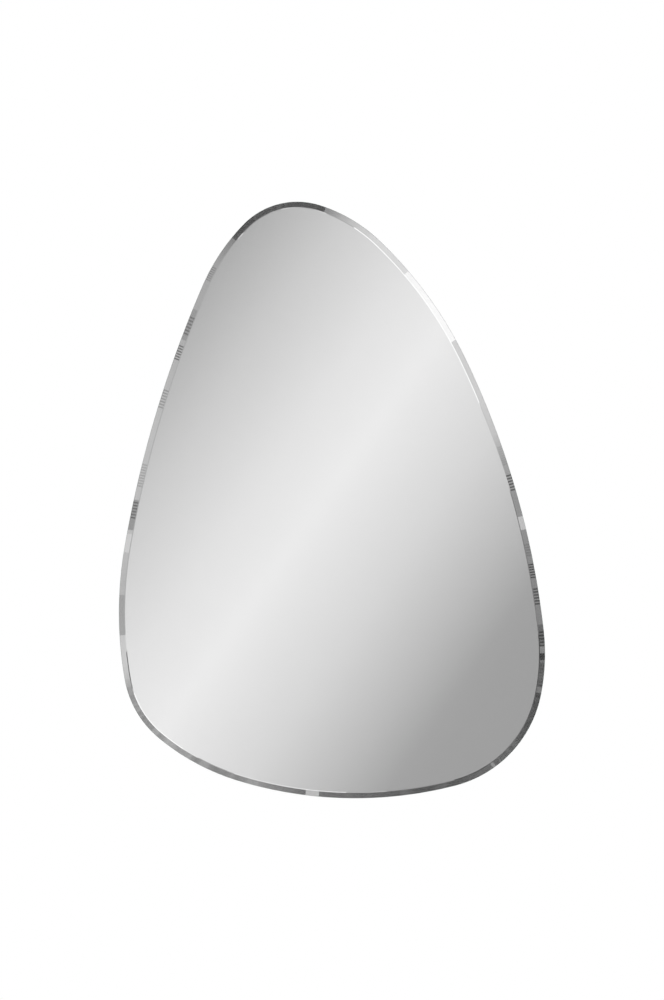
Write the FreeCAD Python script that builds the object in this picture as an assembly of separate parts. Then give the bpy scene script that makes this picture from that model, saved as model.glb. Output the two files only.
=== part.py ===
import FreeCAD, Part
import math
import os

# A frameless wall mirror with an irregular rounded outline and a bevelled edge, in millimetres.
# +X is right and +Z is up as seen from the front, and the mirror faces -Y.
# The origin is at the centre of the outline's box, in the plane of the wall that the pads touch.

# Outline: a closed chain of tangent arcs, anticlockwise seen from the front.
# Each arc has a radius and a turn in degrees. The first one starts at the right of the crown,
# where the edge faces FIRST_NORMAL degrees above +X.
OUTLINE_WIDTH = 500.0
OUTLINE_HEIGHT = 700.0
FIRST_NORMAL = 46.4
UPPER_RIGHT_RADIUS = 181.0
UPPER_RIGHT_TURN = 25.8
CROWN_RADIUS = 88.0
CROWN_TURN = 64.0
LEFT_SHOULDER_RADIUS = 243.0
LEFT_SHOULDER_TURN = 20.4
LEFT_SIDE_RADIUS = 1355.0
LEFT_SIDE_TURN = 13.5
LEFT_HAUNCH_RADIUS = 457.0
LEFT_HAUNCH_TURN = 19.8
LEFT_CORNER_RADIUS = 114.5
LEFT_CORNER_TURN = 40.3
LEFT_SOLE_RADIUS = 268.0
LEFT_SOLE_TURN = 22.7
BOTTOM_RADIUS = 470.0
BOTTOM_TURN = 31.5
RIGHT_CORNER_RADIUS = 137.5
RIGHT_CORNER_TURN = 64.1
RIGHT_HAUNCH_RADIUS = 246.0
RIGHT_HAUNCH_TURN = 17.9
RIGHT_SIDE_RADIUS = 989.0
RIGHT_SIDE_TURN = 19.3
RIGHT_SHOULDER_RADIUS = 478.0
RIGHT_SHOULDER_TURN = 20.7

# Glass: float glass with a ground bevel round the front and a small arris at the back
GLASS_THICKNESS = 5.0
BEVEL_WIDTH = 7.0
BEVEL_DROP = 2.0
BACK_ARRIS = 0.5

# Layers on the back of the glass
COAT_THICKNESS = 0.1
FILM_THICKNESS = 0.2
FILM_MARGIN = 1.0

# Backing board and the tape strips that hold it to the film
BOARD_THICKNESS = 9.0
BOARD_INSET = 32.0
BOARD_CHAMFER = 4.0
BOARD_FRONT_ARRIS = 0.5
TAPE_THICKNESS = 1.0
TAPE_WIDTH = 25.0
TAPE_MARGIN = 14.0
TAPE_STRIPS = 5
OUTER_TAPE_INSET = 90.0

# Wall pads: rubber buttons near the rim of the board, where it faces these directions
PAD_HEIGHT = 6.0
PAD_DIAMETER = 13.0
PAD_RIM_CHAMFER = 0.8
PAD_INSET = 17.0
PAD_DIRECTIONS = (38.0, 148.0, 222.0, 318.0)
PAD_NAMES = ("upper_right_pad", "upper_left_pad", "lower_left_pad", "lower_right_pad")

# Hangers: a steel strap folded round the straight bar of a ring, with two screws through the fold
HANGER_SPACING = 220.0
HANGER_LEVEL = 105.0
STRAP_THICKNESS = 1.0
STRAP_WIDTH = 13.0
STRAP_LENGTH = 42.0
STRAP_TAIL_RADIUS = 5.0
FOLD_GAP = 0.15
FOLD_BEND_RADIUS = 1.2
RING_WIRE = 3.0
RING_WIRE_SIDES = 12
RING_INNER_WIDTH = 20.0
RING_DEPTH = 15.0
RING_CORNER_RADIUS = 3.0
RING_FIT = 0.08
RING_REST_GAP = 0.3

# Pan-head screws of the hangers
SCREW_DIAMETER = 3.5
SCREW_LENGTH = 9.5
SCREW_TIP = 2.0
SCREW_HEAD_DIAMETER = 6.6
SCREW_HEAD_HEIGHT = 2.2
SCREW_HEAD_CHAMFER = 1.1
SCREW_RECESS_WIDTH = 0.9
SCREW_RECESS_LENGTH = 3.6
SCREW_RECESS_DEPTH = 1.3
SCREW_HOLE_CLEARANCE = 0.3
SCREW_PITCH = 13.0
SCREW_TAIL_MARGIN = 7.5
PILOT_CLEARANCE = 0.05
PILOT_EXTRA_DEPTH = 0.5

# Depths of the faces, from the wall at y = 0 towards the front
BOARD_BACK = -PAD_HEIGHT
BOARD_FRONT = BOARD_BACK - BOARD_THICKNESS
FILM_BACK = BOARD_FRONT - TAPE_THICKNESS
COAT_BACK = FILM_BACK - FILM_THICKNESS
GLASS_BACK = COAT_BACK - COAT_THICKNESS
GLASS_FRONT = GLASS_BACK - GLASS_THICKNESS

# Heights of the hanger's parts above the board's back face
RING_WIRE_RADIUS = RING_WIRE / 2
EYE_INNER_RADIUS = RING_WIRE_RADIUS + RING_FIT
EYE_OUTER_RADIUS = EYE_INNER_RADIUS + STRAP_THICKNESS
BAR_HEIGHT = EYE_OUTER_RADIUS
LOWER_LAYER_TOP = STRAP_THICKNESS
UPPER_LAYER_BASE = LOWER_LAYER_TOP + FOLD_GAP
STRAP_TOP = UPPER_LAYER_BASE + STRAP_THICKNESS

ACROSS = FreeCAD.Vector(1, 0, 0)
BACKWARDS = FreeCAD.Vector(0, 1, 0)

NOMINAL_ARCS = (
    (UPPER_RIGHT_RADIUS, UPPER_RIGHT_TURN),
    (CROWN_RADIUS, CROWN_TURN),
    (LEFT_SHOULDER_RADIUS, LEFT_SHOULDER_TURN),
    (LEFT_SIDE_RADIUS, LEFT_SIDE_TURN),
    (LEFT_HAUNCH_RADIUS, LEFT_HAUNCH_TURN),
    (LEFT_CORNER_RADIUS, LEFT_CORNER_TURN),
    (LEFT_SOLE_RADIUS, LEFT_SOLE_TURN),
    (BOTTOM_RADIUS, BOTTOM_TURN),
    (RIGHT_CORNER_RADIUS, RIGHT_CORNER_TURN),
    (RIGHT_HAUNCH_RADIUS, RIGHT_HAUNCH_TURN),
    (RIGHT_SIDE_RADIUS, RIGHT_SIDE_TURN),
    (RIGHT_SHOULDER_RADIUS, RIGHT_SHOULDER_TURN),
)


def direction(angle):
    """The unit vector at this angle above +X, in the plane of the mirror."""
    return FreeCAD.Vector(math.cos(angle), 0, math.sin(angle))


def arc_spans():
    """The start and end angle of each arc's outward normal. Together the arcs turn full circle."""
    share = 2 * math.pi / sum(turn for radius, turn in NOMINAL_ARCS)
    start = math.radians(FIRST_NORMAL)
    spans = []
    for radius, turn in NOMINAL_ARCS:
        end = start + turn * share
        spans.append((start, end))
        start = end
    return spans


def shared_span(span, low, high):
    """The part of an arc's span between two directions, which repeat every full turn, as pieces."""
    pieces = []
    for lap in (-1, 0, 1):
        start = max(span[0], low + lap * 2 * math.pi)
        end = min(span[1], high + lap * 2 * math.pi)
        if end > start:
            pieces.append((start, end))
    return pieces


def reach_per_radius(span):
    """What a unit of an arc's radius adds to the chain's step in X and in Z, its width and its height."""
    step = direction(span[1]) - direction(span[0])
    width = 0.0
    for start, end in shared_span(span, 0.0, math.pi):
        width += math.cos(start) - math.cos(end)
    height = 0.0
    for start, end in shared_span(span, -math.pi / 2, math.pi / 2):
        height += math.sin(end) - math.sin(start)
    return (step.x, step.z, width, height)


def closing_radii(spans):
    """The radii, changed in equal proportion as little as can be, so that the chain closes
    and is OUTLINE_WIDTH wide and OUTLINE_HEIGHT high."""
    radii = [radius for radius, turn in NOMINAL_ARCS]
    reaches = [reach_per_radius(span) for span in spans]
    targets = (0.0, 0.0, OUTLINE_WIDTH, OUTLINE_HEIGHT)
    misses = []
    weights = []
    for row in range(4):
        reached = sum(reach[row] * radius for reach, radius in zip(reaches, radii))
        misses.append(targets[row] - reached)
        for column in range(4):
            products = (reach[row] * reach[column] * radius**2 for reach, radius in zip(reaches, radii))
            weights.append(sum(products))
    inverse = FreeCAD.Matrix(*weights).inverse().A
    pulls = []
    for row in range(4):
        pulls.append(sum(inverse[4 * row + column] * misses[column] for column in range(4)))
    closed = []
    for reach, radius in zip(reaches, radii):
        pull = sum(share * force for share, force in zip(reach, pulls))
        closed.append(radius + radius**2 * pull)
    return closed


def outline_arcs():
    """The outline as (centre, radius, start angle, end angle), centred on the origin."""
    spans = arc_spans()
    arcs = []
    point = FreeCAD.Vector(0, 0, 0)
    for (start, end), radius in zip(spans, closing_radii(spans)):
        centre = point - direction(start) * radius
        arcs.append((centre, radius, start, end))
        point = centre + direction(end) * radius
    right = rim_point(arcs, 0.0, 0.0)
    left = rim_point(arcs, 180.0, 0.0)
    top = rim_point(arcs, 90.0, 0.0)
    bottom = rim_point(arcs, 270.0, 0.0)
    middle = FreeCAD.Vector((right.x + left.x) / 2, 0, (top.z + bottom.z) / 2)
    return [(centre - middle, radius, start, end) for centre, radius, start, end in arcs]


def rim_point(arcs, degrees, inset):
    """The point of the outline, moved inwards by inset, where the edge faces this direction."""
    angle = math.radians(degrees)
    for centre, radius, start, end in arcs:
        if shared_span((start, end), angle - 1e-9, angle + 1e-9):
            return centre + direction(angle) * (radius - inset)


def outline_wire(arcs, inset, depth):
    """The outline, moved inwards by inset, at this depth."""
    edges = []
    for centre, radius, start, end in arcs:
        corners = []
        for angle in (start, (start + end) / 2, end):
            corners.append(centre + direction(angle) * (radius - inset) + BACKWARDS * depth)
        edges.append(Part.Arc(*corners).toShape())
    return Part.Wire(edges)


def plate(arcs, sections):
    """A solid through the outline at each (inset, depth), with straight flanks between them."""
    return Part.makeLoft([outline_wire(arcs, inset, depth) for inset, depth in sections], True, True)


def make_glass(arcs):
    sections = (
        (BEVEL_WIDTH, GLASS_FRONT),
        (0.0, GLASS_FRONT + BEVEL_DROP),
        (0.0, GLASS_BACK - BACK_ARRIS),
        (BACK_ARRIS, GLASS_BACK),
    )
    return plate(arcs, sections)


def make_silver_coat(arcs):
    return plate(arcs, ((BACK_ARRIS, GLASS_BACK), (BACK_ARRIS, COAT_BACK)))


def make_safety_film(arcs):
    inset = BACK_ARRIS + FILM_MARGIN
    return plate(arcs, ((inset, COAT_BACK), (inset, FILM_BACK)))


def make_tape_strips(arcs):
    """Upright strips of mounting tape, evenly spaced from left to right between the outer two,
    each cut off parallel to the board's rim."""
    inset = BOARD_INSET + TAPE_MARGIN
    leftmost = OUTER_TAPE_INSET - OUTLINE_WIDTH / 2
    pitch = -2 * leftmost / (TAPE_STRIPS - 1)
    field = plate(arcs, ((inset, FILM_BACK), (inset, BOARD_FRONT)))
    strips = []
    for number in range(TAPE_STRIPS):
        middle = leftmost + number * pitch
        corner = FreeCAD.Vector(middle - TAPE_WIDTH / 2, FILM_BACK, -OUTLINE_HEIGHT / 2)
        strip = Part.makeBox(TAPE_WIDTH, TAPE_THICKNESS, OUTLINE_HEIGHT, corner)
        strips.append(strip.common(field).Solids[0])
    return strips


def hanger_places(arcs):
    """The points of the board's back under the middle of each ring's bar.
    They are level, and equally far to both sides of the mirror's centre of mass."""
    balance = Part.Face(outline_wire(arcs, 0.0, 0.0)).CenterOfMass.x
    places = []
    for side in (-0.5, 0.5):
        places.append(FreeCAD.Vector(balance + side * HANGER_SPACING, BOARD_BACK, HANGER_LEVEL))
    return places


def screw_places(place):
    """Where a hanger's two screws meet the board's back face, below the ring's bar."""
    lower = STRAP_LENGTH - SCREW_TAIL_MARGIN
    places = []
    for drop in (lower - SCREW_PITCH, lower):
        places.append(place - FreeCAD.Vector(0, 0, drop))
    return places


def make_board(arcs):
    """The board, its back edge chamfered, with a pilot hole for each screw."""
    sections = (
        (BOARD_INSET + BOARD_FRONT_ARRIS, BOARD_FRONT),
        (BOARD_INSET, BOARD_FRONT + BOARD_FRONT_ARRIS),
        (BOARD_INSET, BOARD_BACK - BOARD_CHAMFER),
        (BOARD_INSET + BOARD_CHAMFER, BOARD_BACK),
    )
    board = plate(arcs, sections)
    radius = SCREW_DIAMETER / 2 + PILOT_CLEARANCE
    depth = SCREW_LENGTH - STRAP_TOP + PILOT_EXTRA_DEPTH
    for place in hanger_places(arcs):
        for point in screw_places(place):
            board = board.cut(Part.makeCylinder(radius, depth, point, -BACKWARDS))
    return board


def make_pads(arcs):
    """A rubber button with a chamfered rim at each of the pad directions."""
    radius = PAD_DIAMETER / 2
    inset = BOARD_INSET + PAD_INSET
    pads = []
    for degrees in PAD_DIRECTIONS:
        seat = rim_point(arcs, degrees, inset) + BACKWARDS * BOARD_BACK
        pad = Part.makeCylinder(radius, PAD_HEIGHT, seat, BACKWARDS)
        rim = [edge for edge in pad.Edges if edge.BoundBox.YMin > BOARD_BACK / 2]
        pads.append(pad.makeChamfer(PAD_RIM_CHAMFER, rim))
    return pads


def on_circle(centre, radius, degrees):
    """The point at this angle on a circle of the strap's side view, where +Z is 0 and +Y is 90."""
    angle = math.radians(degrees)
    return centre + FreeCAD.Vector(0, radius * math.sin(angle), radius * math.cos(angle))


def strap_arc(centre, radius, start, end):
    corners = [on_circle(centre, radius, angle) for angle in (start, (start + end) / 2, end)]
    return Part.Arc(*corners).toShape()


def strap_profile():
    """The strap's side view, from the lower layer's tail round the eye and back over itself.
    Here y is the height above the board, and the ring's bar is at y = BAR_HEIGHT, z = 0."""
    eye = FreeCAD.Vector(0, BAR_HEIGHT, 0)
    bend_height = STRAP_TOP + FOLD_BEND_RADIUS
    rise = bend_height - BAR_HEIGHT
    reach = EYE_OUTER_RADIUS + FOLD_BEND_RADIUS
    bend = FreeCAD.Vector(0, bend_height, -math.sqrt(reach**2 - rise**2))
    leave = math.degrees(math.atan2(rise, bend.z))
    tail = -STRAP_LENGTH
    outer = [
        strap_arc(eye, EYE_OUTER_RADIUS, -90, leave),
        strap_arc(bend, FOLD_BEND_RADIUS, leave - 180, -90),
    ]
    inner = [
        strap_arc(bend, FOLD_BEND_RADIUS + STRAP_THICKNESS, -90, leave - 180),
        strap_arc(eye, EYE_INNER_RADIUS, leave, -90),
    ]
    straights = [
        ((0, tail), (0, 0)),
        ((STRAP_TOP, bend.z), (STRAP_TOP, tail)),
        ((STRAP_TOP, tail), (UPPER_LAYER_BASE, tail)),
        ((UPPER_LAYER_BASE, tail), (UPPER_LAYER_BASE, bend.z)),
        ((LOWER_LAYER_TOP, 0), (LOWER_LAYER_TOP, tail)),
        ((LOWER_LAYER_TOP, tail), (0, tail)),
    ]
    lines = []
    for (y_start, z_start), (y_end, z_end) in straights:
        ends = (FreeCAD.Vector(0, y_start, z_start), FreeCAD.Vector(0, y_end, z_end))
        lines.append(Part.LineSegment(*ends).toShape())
    return Part.Wire(Part.__sortEdges__(lines + outer + inner))


def make_strap(place):
    """The folded strap with a rounded tail and a hole through both layers for each screw."""
    half = STRAP_WIDTH / 2
    strap = Part.Face(strap_profile()).extrude(ACROSS * STRAP_WIDTH)
    strap.translate(ACROSS * -half)
    height = 2 * EYE_OUTER_RADIUS
    length = STRAP_LENGTH + EYE_OUTER_RADIUS
    blank = Part.makeBox(STRAP_WIDTH, height, length, FreeCAD.Vector(-half, 0, -STRAP_LENGTH))
    tail_corners = []
    for edge in blank.Edges:
        middle = edge.CenterOfMass
        upright = abs(middle.y - height / 2) < 1e-6
        if upright and abs(middle.z + STRAP_LENGTH) < 1e-6:
            tail_corners.append(edge)
    strap = strap.common(blank.makeFillet(STRAP_TAIL_RADIUS, tail_corners)).Solids[0]
    strap.translate(place)
    radius = SCREW_DIAMETER / 2 + SCREW_HOLE_CLEARANCE
    for point in screw_places(place):
        strap = strap.cut(Part.makeCylinder(radius, height, point, BACKWARDS))
    return strap


def ring_path():
    """The ring's centre line, hanging straight down from the middle of its bar at the origin."""
    half = (RING_INNER_WIDTH + RING_WIRE) / 2
    corner = RING_CORNER_RADIUS
    bow_level = half - RING_DEPTH
    slant = corner * math.sqrt(0.5)
    places = [
        ((0, 0), (half - corner, 0)),
        ((half - corner, 0), (half - corner + slant, slant - corner), (half, -corner)),
        ((half, -corner), (half, bow_level)),
        ((half, bow_level), (0, -RING_DEPTH), (-half, bow_level)),
        ((-half, bow_level), (-half, -corner)),
        ((-half, -corner), (corner - half - slant, slant - corner), (corner - half, 0)),
        ((corner - half, 0), (0, 0)),
    ]
    edges = []
    for points in places:
        corners = [FreeCAD.Vector(x, 0, z) for x, z in points]
        curve = Part.LineSegment if len(corners) == 2 else Part.Arc
        edges.append(curve(*corners).toShape())
    return Part.Wire(edges)


def rest_lift():
    """How far the hanging ring leans out, in degrees, where its bow lies over the strap."""
    rise = STRAP_TOP + RING_REST_GAP + RING_WIRE_RADIUS - BAR_HEIGHT
    return math.degrees(math.asin(rise / RING_DEPTH))


def wire_section():
    """The wire's cross-section at the middle of the bar, with RING_WIRE_SIDES flats."""
    corners = []
    for number in range(RING_WIRE_SIDES + 1):
        angle = (number + 0.5) * 360 / RING_WIRE_SIDES
        corners.append(on_circle(FreeCAD.Vector(0, 0, 0), RING_WIRE_RADIUS, angle))
    return Part.makePolygon(corners)


def make_ring(place):
    """The bent-wire ring, at rest over the strap."""
    ring = ring_path().makePipeShell([wire_section()], True, False)
    ring.rotate(FreeCAD.Vector(0, 0, 0), ACROSS, rest_lift())
    return ring.translated(place + BACKWARDS * BAR_HEIGHT)


def make_screw():
    """A pan-head screw that points forwards, with the underside of its head at the origin."""
    shank = SCREW_DIAMETER / 2
    head = SCREW_HEAD_DIAMETER / 2
    corners = (
        (0, SCREW_HEAD_HEIGHT),
        (head - SCREW_HEAD_CHAMFER, SCREW_HEAD_HEIGHT),
        (head, SCREW_HEAD_HEIGHT - SCREW_HEAD_CHAMFER),
        (head, 0),
        (shank, 0),
        (shank, SCREW_TIP - SCREW_LENGTH),
        (0, -SCREW_LENGTH),
        (0, SCREW_HEAD_HEIGHT),
    )
    profile = Part.Face(Part.makePolygon([FreeCAD.Vector(x, y, 0) for x, y in corners]))
    screw = profile.revolve(FreeCAD.Vector(0, 0, 0), BACKWARDS, 360)
    base = SCREW_HEAD_HEIGHT - SCREW_RECESS_DEPTH
    spans = ((SCREW_RECESS_LENGTH, SCREW_RECESS_WIDTH), (SCREW_RECESS_WIDTH, SCREW_RECESS_LENGTH))
    for wide, high in spans:
        corner = FreeCAD.Vector(-wide / 2, base, -high / 2)
        screw = screw.cut(Part.makeBox(wide, SCREW_RECESS_DEPTH, high, corner))
    return screw


def make_screws(arcs):
    screw = make_screw()
    screws = []
    for place in hanger_places(arcs):
        for point in screw_places(place):
            screws.append(screw.translated(point + BACKWARDS * STRAP_TOP))
    return Part.makeCompound(screws)


def main():
    arcs = outline_arcs()
    left, right = hanger_places(arcs)
    nodes = {
        "glass": make_glass(arcs),
        "silver_coat": make_silver_coat(arcs),
        "safety_film": make_safety_film(arcs),
        "backing_board": make_board(arcs),
        "left_hanger_strap": make_strap(left),
        "right_hanger_strap": make_strap(right),
        "left_ring": make_ring(left),
        "right_ring": make_ring(right),
        "hanger_screws": make_screws(arcs),
    }
    for number, strip in enumerate(make_tape_strips(arcs), 1):
        nodes["tape_strip_" + str(number)] = strip
    nodes.update(zip(PAD_NAMES, make_pads(arcs)))
    os.makedirs("parts", exist_ok=True)
    for name, shape in nodes.items():
        shape.exportStep("parts/" + name + ".step")


main()
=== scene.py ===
import math

import bpy
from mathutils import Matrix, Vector


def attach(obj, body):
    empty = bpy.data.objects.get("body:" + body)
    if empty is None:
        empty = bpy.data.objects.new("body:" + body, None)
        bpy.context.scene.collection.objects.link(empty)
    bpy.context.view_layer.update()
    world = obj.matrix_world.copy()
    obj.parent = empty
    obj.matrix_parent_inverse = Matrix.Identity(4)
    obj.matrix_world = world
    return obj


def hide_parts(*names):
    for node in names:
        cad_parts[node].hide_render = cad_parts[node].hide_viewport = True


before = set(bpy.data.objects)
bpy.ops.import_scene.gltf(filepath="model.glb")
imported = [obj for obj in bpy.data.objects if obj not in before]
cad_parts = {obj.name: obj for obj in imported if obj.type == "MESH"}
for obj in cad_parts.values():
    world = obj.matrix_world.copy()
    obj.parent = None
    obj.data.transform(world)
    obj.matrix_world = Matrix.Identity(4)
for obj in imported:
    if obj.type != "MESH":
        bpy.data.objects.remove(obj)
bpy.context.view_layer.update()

MM = 0.001
FORWARDS = Vector((0, -1, 0))
BACKWARDS = Vector((0, 1, 0))
# Places nearer than this, in metres, count as the same
NEAR = 0.00001
# A face looks along a direction when its normal has more than this cosine with it
FACING = 0.99

# The outline: a closed chain of tangent arcs, anticlockwise seen from the front. The first arc lies
# round FIRST_CENTRE, in mm, and starts where the edge faces FIRST_NORMAL degrees above +X.
# Each arc has a radius in mm and a turn in degrees.
FIRST_CENTRE = (-69.25, 173.30)
FIRST_NORMAL = 46.4
OUTLINE = (
    (181.15, 25.8),
    (88.10, 64.0),
    (243.04, 20.4),
    (1353.67, 13.5),
    (456.51, 19.8),
    (114.47, 40.3),
    (268.06, 22.7),
    (470.69, 31.5),
    (137.51, 64.1),
    (245.91, 17.9),
    (988.60, 19.3),
    (478.37, 20.7),
)
# The chain's end meets its start within this, in mm
CLOSING_GAP = 0.1
DEGREES_PER_STEP = 0.7

# Depths from the wall, in mm: the mirror faces -Y
GLASS_EDGE_FRONT = -19.3
GLASS_EDGE_BACK = -16.8
GLASS_BACK = -16.3
BEVEL_WIDTH = 7.0
BEVEL_DROP = 2.0
GLASS_ARRIS = 0.5
COAT_GAP = 0.03
COAT_BACK = -16.2
FILM_INSET = 1.5
FILM_BACK = -16.0
BOARD_INSET = 32.0
BOARD_FRONT = -15.0
BOARD_CHAMFER = 4.0
BOARD_BACK = -6.0
BOARD_ARRIS = 0.5
TAPE_STRIPS = 5

# Hangers, in mm: the ring's bar, and heights above the back of the board
BAR_PLACES = {"left": (-115.143, 105.0), "right": (104.857, 105.0)}
BAR_HEIGHT = 2.58
EYE_OUTER_RADIUS = 2.58
FOLD_BEND_RADIUS = 1.2
FOLD_STEP = 8.0
STRAP_THICKNESS = 1.0
STRAP_WIDTH = 13.0
STRAP_LENGTH = 42.0
STRAP_TOP = 2.15
STRAP_TAIL_RADIUS = 5.0
STRAP_HOLE_RADIUS = 2.05
STRAP_ROUNDING = 0.12
STRAP_SHARP_ANGLE = 50
RING_WIRE_RADIUS = 1.5
RING_INNER_WIDTH = 20.0
RING_DEPTH = 15.0
RING_CORNER_RADIUS = 3.0
RING_STEP = 6.0
RING_LIFT = 5.24
SCREW_DROPS = (21.5, 34.5)
SCREW_TURNS = (14, 62, 38, 81)
SCREW_HEAD_RADIUS = 3.3
SCREW_HEAD_HEIGHT = 2.2
SCREW_HEAD_ROUND = 1.1
SCREW_HEAD_STEP = 11.0
SCREW_SHANK_RADIUS = 1.75
SCREW_LENGTH = 9.5
SCREW_TIP = 2.0
SCREW_RECESS_LENGTH = 3.6
SCREW_RECESS_WIDTH = 0.9
SCREW_RECESS_DEPTH = 1.3
SCREW_RECESS_TAPER = 0.5

# Pads, in mm, with the places x, z of their middles
PAD_HEIGHT = 6.0
PAD_DIAMETER = 13.0
PAD_RIM = 0.8
PAD_PLACES = {
    "upper_right_pad": (64.133, 222.412),
    "upper_left_pad": (-93.530, 257.484),
    "lower_left_pad": (-179.091, -234.791),
    "lower_right_pad": (176.090, -261.248),
}

# The scrim in the backing film: the width of a thread in mm
FILM_THREAD = 2.4


def point(x, y, z):
    """A place given in mm, in metres."""
    return Vector((x * MM, y * MM, z * MM))


# ---------- drawing and shaping ----------

def deselect_objects():
    """Leaves edit mode and selects nothing."""
    if bpy.context.object and bpy.context.object.mode != "OBJECT":
        bpy.ops.object.mode_set(mode="OBJECT")
    bpy.ops.object.select_all(action="DESELECT")


def select_only(*pieces):
    """Selects these pieces and nothing else, with the first one active."""
    deselect_objects()
    for piece in pieces:
        piece.select_set(True)
    bpy.context.view_layer.objects.active = pieces[0]


def shape_new(name):
    """Names the primitive just added, puts its place into its mesh and opens it for shaping."""
    piece = bpy.context.object
    piece.name = name
    piece.data.name = name
    bpy.ops.object.transform_apply(location=True, rotation=True, scale=False)
    bpy.ops.object.mode_set(mode="EDIT")
    return piece


def start_drawing(name, place):
    """A new mesh in edit mode that is one point at this place, the pen's start."""
    deselect_objects()
    bpy.ops.mesh.primitive_plane_add(size=MM, location=place)
    piece = shape_new(name)
    bpy.ops.mesh.select_mode(type="VERT")
    bpy.ops.mesh.select_all(action="SELECT")
    bpy.ops.mesh.merge(type="CENTER")
    return piece


def draw_arc(centre, degrees, axis=(0, -1, 0), step=DEGREES_PER_STEP):
    """Turns the pen about a centre, and leaves the drawn edges or faces behind it."""
    steps = max(1, round(abs(degrees) / step))
    bpy.ops.mesh.spin(steps=steps, angle=-math.radians(degrees), center=centre, axis=axis)


def draw_line(offset):
    """Moves the pen by this much, and leaves the drawn edge or faces behind it."""
    bpy.ops.mesh.extrude_region_move(TRANSFORM_OT_translate={"value": offset})


def close_loop(threshold=NEAR):
    """Joins the pen's end to its start."""
    bpy.ops.mesh.select_all(action="SELECT")
    bpy.ops.mesh.remove_doubles(threshold=threshold)


def point_outwards():
    """Turns all faces outwards."""
    bpy.ops.mesh.select_all(action="SELECT")
    bpy.ops.mesh.normals_make_consistent(inside=False)


def select_faces(piece, wanted):
    """In edit mode, selects the faces whose centre and normal meet the test."""
    bpy.ops.mesh.select_all(action="DESELECT")
    bpy.ops.mesh.select_mode(type="FACE")
    bpy.ops.object.mode_set(mode="OBJECT")
    for face in piece.data.polygons:
        face.select = bool(wanted(face.center, face.normal))
    bpy.ops.object.mode_set(mode="EDIT")


def select_edges(piece, wanted):
    """In edit mode, selects the edges whose two ends meet the test."""
    bpy.ops.mesh.select_mode(type="EDGE")
    bpy.ops.mesh.select_all(action="DESELECT")
    bpy.ops.object.mode_set(mode="OBJECT")
    corners = piece.data.vertices
    for edge in piece.data.edges:
        first, second = (corners[number].co for number in edge.vertices)
        edge.select = bool(wanted(first, second))
    bpy.ops.object.mode_set(mode="EDIT")


def inset_face(piece, facing, width, rise):
    """Narrows the flat face that looks along facing, and lifts it, which cuts a bevel round it."""
    bpy.ops.object.mode_set(mode="OBJECT")
    level = max(face.center.dot(facing) for face in piece.data.polygons)
    bpy.ops.object.mode_set(mode="EDIT")
    select_faces(
        piece,
        lambda centre, normal: normal.dot(facing) > FACING and centre.dot(facing) > level - NEAR,
    )
    bpy.ops.mesh.inset(thickness=width * MM, depth=rise * MM)


def finish_piece(piece, angle=8.0):
    """Back to object mode, with edges that turn by less than the angle shaded smooth."""
    select_only(piece)
    bpy.ops.object.shade_smooth_by_angle(angle=math.radians(angle))
    return piece


def draw_outline(name, inset, depth):
    """The mirror's outline, moved inwards by inset, filled as one flat face at this depth."""
    x, z = FIRST_CENTRE
    facing = math.radians(FIRST_NORMAL)
    last_radius = OUTLINE[0][0]
    reach = last_radius - inset
    piece = start_drawing(name, point(x + reach * math.cos(facing), depth, z + reach * math.sin(facing)))
    for radius, turn in OUTLINE:
        x += (last_radius - radius) * math.cos(facing)
        z += (last_radius - radius) * math.sin(facing)
        draw_arc(point(x, depth, z), turn)
        facing += math.radians(turn)
        last_radius = radius
    close_loop(CLOSING_GAP * MM)
    bpy.ops.mesh.edge_face_add()
    return piece


def make_plate(name, inset, front, back):
    """A flat plate with the mirror's outline, from a front to a back depth."""
    piece = draw_outline(name, inset, front)
    bpy.ops.mesh.extrude_region_move(TRANSFORM_OT_translate={"value": point(0, back - front, 0)})
    point_outwards()
    return piece


def make_glass():
    """The sheet of glass with its ground front bevel and a small arris at the back."""
    glass = make_plate("mirror_glass", 0, GLASS_EDGE_FRONT, GLASS_EDGE_BACK - COAT_GAP)
    inset_face(glass, FORWARDS, BEVEL_WIDTH, BEVEL_DROP)
    inset_face(glass, BACKWARDS, GLASS_ARRIS, GLASS_ARRIS)
    return finish_piece(glass)


def make_coat():
    """The silver with the paint behind it, as one thin plate."""
    return finish_piece(make_plate("silver_and_paint", GLASS_ARRIS, GLASS_BACK, COAT_BACK))


def make_film():
    """The film that holds broken glass together."""
    return finish_piece(make_plate("backing_film", FILM_INSET, COAT_BACK, FILM_BACK))


def cut_holes(piece, cutter):
    """Cuts one piece out of another and deletes the cutter."""
    select_only(piece)
    cut = piece.modifiers.new("holes", "BOOLEAN")
    cut.operation = "DIFFERENCE"
    cut.solver = "EXACT"
    cut.object = cutter
    bpy.ops.object.modifier_apply(modifier="holes")
    bpy.data.objects.remove(cutter)


def make_board():
    """The fibreboard, its back edge chamfered and its front arris sanded."""
    board = make_plate("fibre_board", BOARD_INSET, BOARD_FRONT + BOARD_ARRIS, BOARD_BACK - BOARD_CHAMFER)
    inset_face(board, FORWARDS, BOARD_ARRIS, BOARD_ARRIS)
    inset_face(board, BACKWARDS, BOARD_CHAMFER, BOARD_CHAMFER)
    return finish_piece(board, angle=20.0)


def make_pad(name, x, z):
    """A rubber button with a rounded rim, standing on the back of the board."""
    deselect_objects()
    middle = BOARD_BACK + PAD_HEIGHT / 2
    bpy.ops.mesh.primitive_cylinder_add(
        vertices=64, radius=PAD_DIAMETER / 2 * MM, depth=PAD_HEIGHT * MM,
        location=point(x, middle, z), rotation=(-math.pi / 2, 0, 0),
    )
    pad = shape_new(name)
    select_edges(pad, lambda first, second: min(first.y, second.y) > -NEAR)
    bpy.ops.mesh.bevel(offset=PAD_RIM * MM, segments=5, affect="EDGES")
    point_outwards()
    return finish_piece(pad, angle=30.0)


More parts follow.
